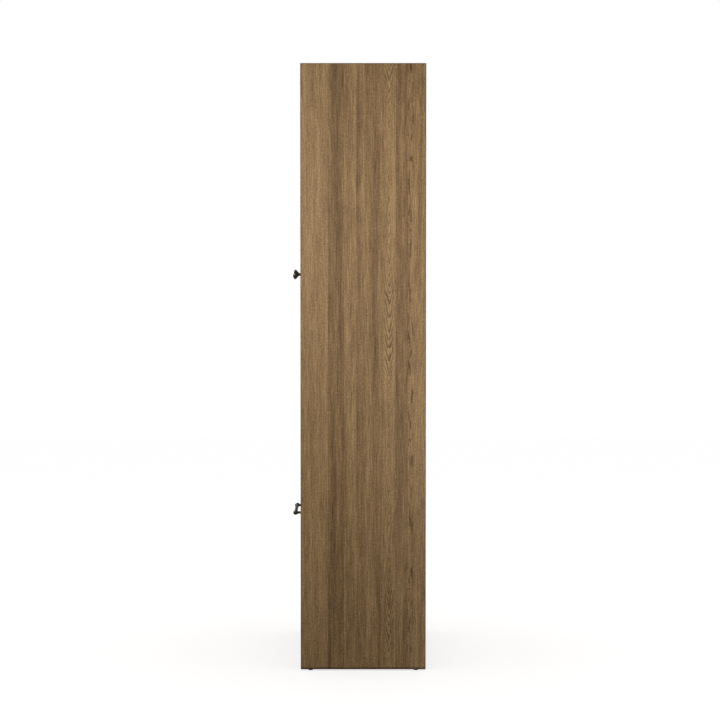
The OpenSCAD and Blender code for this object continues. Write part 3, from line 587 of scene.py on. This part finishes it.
def make_pull(material):
    """A round bar between two balls, each on a turned post with a round foot."""
    low, high = (np.array(corner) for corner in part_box("drawer_pull"))
    middle_z = (low[2] + high[2]) / 2
    reach = high[1] - low[1] - PULL_BALL_D / 2
    ball_r, post_r = PULL_BALL_D / 2, PULL_POST_D / 2
    slope = np.linspace(math.pi - math.asin((post_r + POST_FLARE) / ball_r), 0, BALL_STEPS)
    ball = np.stack([ball_r * np.sin(slope), reach + ball_r * np.cos(slope)], 1)
    ball[-1, 0] = 0
    post = rounded([(0, 0, 0), (FOOT_D / 2, 0, FOOT_BACK_R), (FOOT_D / 2, FOOT_H, FOOT_EDGE_R),
                    (post_r, FOOT_H, POST_FOOT_FILLET),
                    (post_r, ball[0, 1] - POST_SHORT, POST_BALL_FILLET), (*ball[0], 0)])
    outline = np.vstack([post[:-1], ball])
    post_x = high[0] - ball_r
    sheets = [turned(outline, (x, high[1], middle_z), (0, -1, 0), POST_AROUND) for x in (-post_x, post_x)]
    bar_y, bar_r, bar_l = high[1] - reach, PULL_BAR_D / 2, 2 * post_x
    bar = rounded([(0, 0, 0), (bar_r, 0, BAR_END_R), (bar_r, bar_l, BAR_END_R), (0, bar_l, 0)])
    sheets.append(turned(bar, (-post_x, bar_y, middle_z), (1, 0, 0), BAR_AROUND))
    pull = make_surface("bar_pull", sheets)
    stand_for(pull, "drawer_pull", material)


# ---------- drawer slides ----------

# A member's node, and how far its web and its flanges' tips stand from the side panel
SLIDE_MEMBERS = [("outer_slide_members", 0, 9 * MM), ("middle_slide_members", 2.6 * MM, 10.5 * MM),
                 ("inner_slide_members", 12.7 * MM, 5 * MM)]
SLIDE_WALL = 1.2 * MM
BEND_OUTSIDE_R, BEND_INSIDE_R, TIP_R = 1.6 * MM, 0.5 * MM, 0.45 * MM
BALL_D, BALL_STEP = 3.6 * MM, 9 * MM
BALL_AROUND, BALL_ROWS = 10, 7
CAGE_T, CAGE_W, CAGE_EDGE_R = 0.8 * MM, 4.6 * MM, 0.3 * MM
OUTER_CAGE_AT, INNER_CAGE_AT = 6.0 * MM, 7.8 * MM   # a cage's middle, from the side panel
CAGE_SHARE = 0.46               # a cage's length as a share of the middle member's


def channel_outline(web, tip, height):
    """A C of sheet metal seen from its end: two turned corners outside, two inside, and
    rounded tips, as one closed outline of (distance from the side panel, height) points."""
    into = math.copysign(SLIDE_WALL, tip - web)
    half, low = height / 2, height / 2 - SLIDE_WALL
    corners = [(web, -half, BEND_OUTSIDE_R), (tip, -half, TIP_R), (tip, -low, TIP_R),
               (web + into, -low, BEND_INSIDE_R), (web + into, low, BEND_INSIDE_R),
               (tip, low, TIP_R), (tip, half, TIP_R), (web, half, BEND_OUTSIDE_R)]
    return rounded([corners[-1]] + corners + [corners[0]])[1:-1]


def carried(outline, side, wall_x, middle_z, ends):
    """The outline carried straight along y from one end to the other, on one side."""
    x = side * (wall_x - outline[:, 0])
    rows = [np.stack([x, np.full_like(x, y), middle_z + outline[:, 1]], 1) for y in ends]
    return np.array(rows)


def make_slides(steel, bearing):
    """Each side's three channels, one inside the next, and between them the balls in their
    cages, which travel with the middle member."""
    wall_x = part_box("outer_slide_members")[1][0]
    heights = []
    for node, web, tip in SLIDE_MEMBERS:
        low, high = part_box(node)
        heights.append(high[2] - low[2])
        middle_z = (low[2] + high[2]) / 2
        outline = channel_outline(web, tip, heights[-1])
        sheets = [carried(outline, side, wall_x, middle_z, (low[1], high[1])) for side in (-1, 1)]
        member = make_surface(node + "_rolled", sheets, capped=True)
        stand_for(member, node, steel)
    low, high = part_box("middle_slide_members")
    length = CAGE_SHARE * (high[1] - low[1])
    outer, middle, inner = heights
    rooms = [((outer / 2 - SLIDE_WALL + middle / 2) / 2, OUTER_CAGE_AT, high[1] - length),
             ((middle / 2 - SLIDE_WALL + inner / 2) / 2, INNER_CAGE_AT, low[1])]
    cages, balls = [], []
    arc = np.linspace(0, np.pi, BALL_ROWS)
    ball = np.stack([BALL_D / 2 * np.sin(arc), -BALL_D / 2 * np.cos(arc)], 1)
    ball[[0, -1], 0] = 0
    half_w, half_t = CAGE_W / 2, CAGE_T / 2
    strip = rounded([(-half_w, -half_t, 0), (half_w, -half_t, CAGE_EDGE_R),
                     (half_w, half_t, CAGE_EDGE_R), (-half_w, half_t, 0)])
    for rise, from_wall, start in rooms:
        for side in (-1, 1):
            for up in (-1, 1):
                here = strip + (from_wall, up * rise)
                cages.append(carried(here, side, wall_x, middle_z, (start, start + length)))
                x, z = side * (wall_x - from_wall), middle_z + up * rise
                balls += [turned(ball, (x, y, z), (0, 1, 0), BALL_AROUND)
                          for y in np.arange(start + BALL_STEP / 2, start + length, BALL_STEP)]
    body = frame["nodes"]["middle_slide_members"]["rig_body"]
    for name, sheets, capped in (("ball_cages", cages, True), ("bearing_balls", balls, False)):
        piece = make_surface(name, sheets, capped)
        piece.data.materials.append(bearing)
        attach(piece, body)


# ---------- the whole cabinet ----------

# Boards: each one's name, and its axes across the grain, through the board and along the grain
CARCASS_BOARDS = [("right_side_panel", "yxz"), ("left_side_panel", "yxz"), ("top_panel", "yzx"),
                  ("bottom_panel", "yzx"), ("divider_panel", "yzx"), ("hanging_rail", "zyx"),
                  ("plinth", "zyx"), ("shelf_1", "yzx"), ("shelf_2", "yzx"), ("shelf_3", "yzx"),
                  ("shelf_4", "yzx")]
DOOR_BOARDS = [("hinge_stile", "xyz"), ("meeting_stile", "xyz"), ("top_rail", "zyx"), ("middle_rail", "zyx"),
               ("bottom_rail", "zyx"), ("upper_panel", "xyz"), ("lower_panel", "xyz")]
DRAWER_FRONT_BOARDS = [("left_stile", "xyz"), ("right_stile", "xyz"), ("top_rail", "zyx"),
                       ("bottom_rail", "zyx"), ("panel", "xyz")]
DRAWER_BOX_BOARDS = [("drawer_left_side", "zxy"), ("drawer_right_side", "zxy"), ("drawer_box_front", "zyx"),
                     ("drawer_box_back", "zyx"), ("drawer_bottom", "yzx")]
CARCASS_EASE, FRAME_EASE, BOX_EASE, BACK_EASE = 0.9 * MM, 0.6 * MM, 0.8 * MM, 0.4 * MM
# How far the veneer moves from one board to the next, across and along the grain, and the birch
VENEER_STEP, LENGTH_STEP = 0.1137, 1.717
BIRCH_STEP, BIRCH_LENGTH_STEP = 0.2, 1
BIRCH_TONES = srgb(186, 156, 112), srgb(224, 200, 160)
BEECH_TONES = srgb(190, 152, 108), srgb(222, 188, 146)


def make_oak_board(node, order, ease, number):
    """One oak board, with its own window on the veneer."""
    low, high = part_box(node)
    across, through = AXES[order[0]], AXES[order[1]]
    shift = (number * VENEER_STEP - low[across], -high[through], number * LENGTH_STEP)
    material = oak("oak_" + node, order, shift, low, high)
    stand_for(eased_copy(node, ease, True), node, material)


def make_boards():
    """Every board of the carcass, the doors, the drawer's front and its box."""
    boards = [(node, order, CARCASS_EASE) for node, order in CARCASS_BOARDS]
    boards += [(side + "_" + part, order, FRAME_EASE) for side in SIDES for part, order in DOOR_BOARDS]
    boards += [("drawer_front_" + part, order, FRAME_EASE) for part, order in DRAWER_FRONT_BOARDS]
    for number, (node, order, ease) in enumerate(boards):
        make_oak_board(node, order, ease, number)
    printed = back_board("printed_board")
    stand_for(eased_copy("back_panel", BACK_EASE, True), "back_panel", printed)
    for number, (node, order) in enumerate(DRAWER_BOX_BOARDS):
        shift = (BIRCH_STEP * number, 0, BIRCH_LENGTH_STEP * number)
        birch = pale_wood("birch_" + node, order, *BIRCH_TONES, shift)
        stand_for(eased_copy(node, BOX_EASE, True), node, birch)


def make_hardware():
    """Every fitting but the knobs and the pull; a row's last value is its easing in mm."""
    steel, zinc = plated_steel("plated_steel"), cast_zinc("cast_zinc", light=0.6)
    plastic, magnet = moulded_black("moulded_black"), cast_zinc("magnet_steel", light=0.25)
    beech = pale_wood("beech", "zyx", *BEECH_TONES)
    rows = [("floor_glides", plastic, "black_plastic", 0.4), ("shelf_pins", steel, "plated_steel", 0.15),
            ("cam_locks", zinc, "zinc", 0.2), ("cam_bolts", steel, "plated_steel", 0),
            ("dowels", beech, "beech", 0.5), ("carcass_hinge_plates", steel, "plated_steel", 0.2),
            ("hinge_pins", steel, "plated_steel", 0.15), ("catch_cases", plastic, "black_plastic", 0.4),
            ("catch_magnets", magnet, "magnet", 0.2),
            ("carcass_screws", steel, "plated_steel", 0), ("drawer_screws", steel, "plated_steel", 0)]
    for side in SIDES:
        rows += [(side + "_hinge_plates", steel, "plated_steel", 0.2),
                 (side + "_strike_plate", steel, "plated_steel", 0.15),
                 (side + "_door_screws", steel, "plated_steel", 0)]
    for node, material, slot, ease in rows:
        stand_for(eased_copy(node, ease * MM, False), node, material)
    make_slides(plated_steel("rolled_steel", (300, 8, 300)), steel)


make_camera()
make_world(seen=1.0, level=0.1, overhead=0.35)
make_lamps()
make_floor(half=9.0, glow=0.699, grey=0.88)
make_boards()
make_hardware()
black = powder_black("powder_black")
for side in SIDES:
    make_knob(side, black)
make_pull(black)
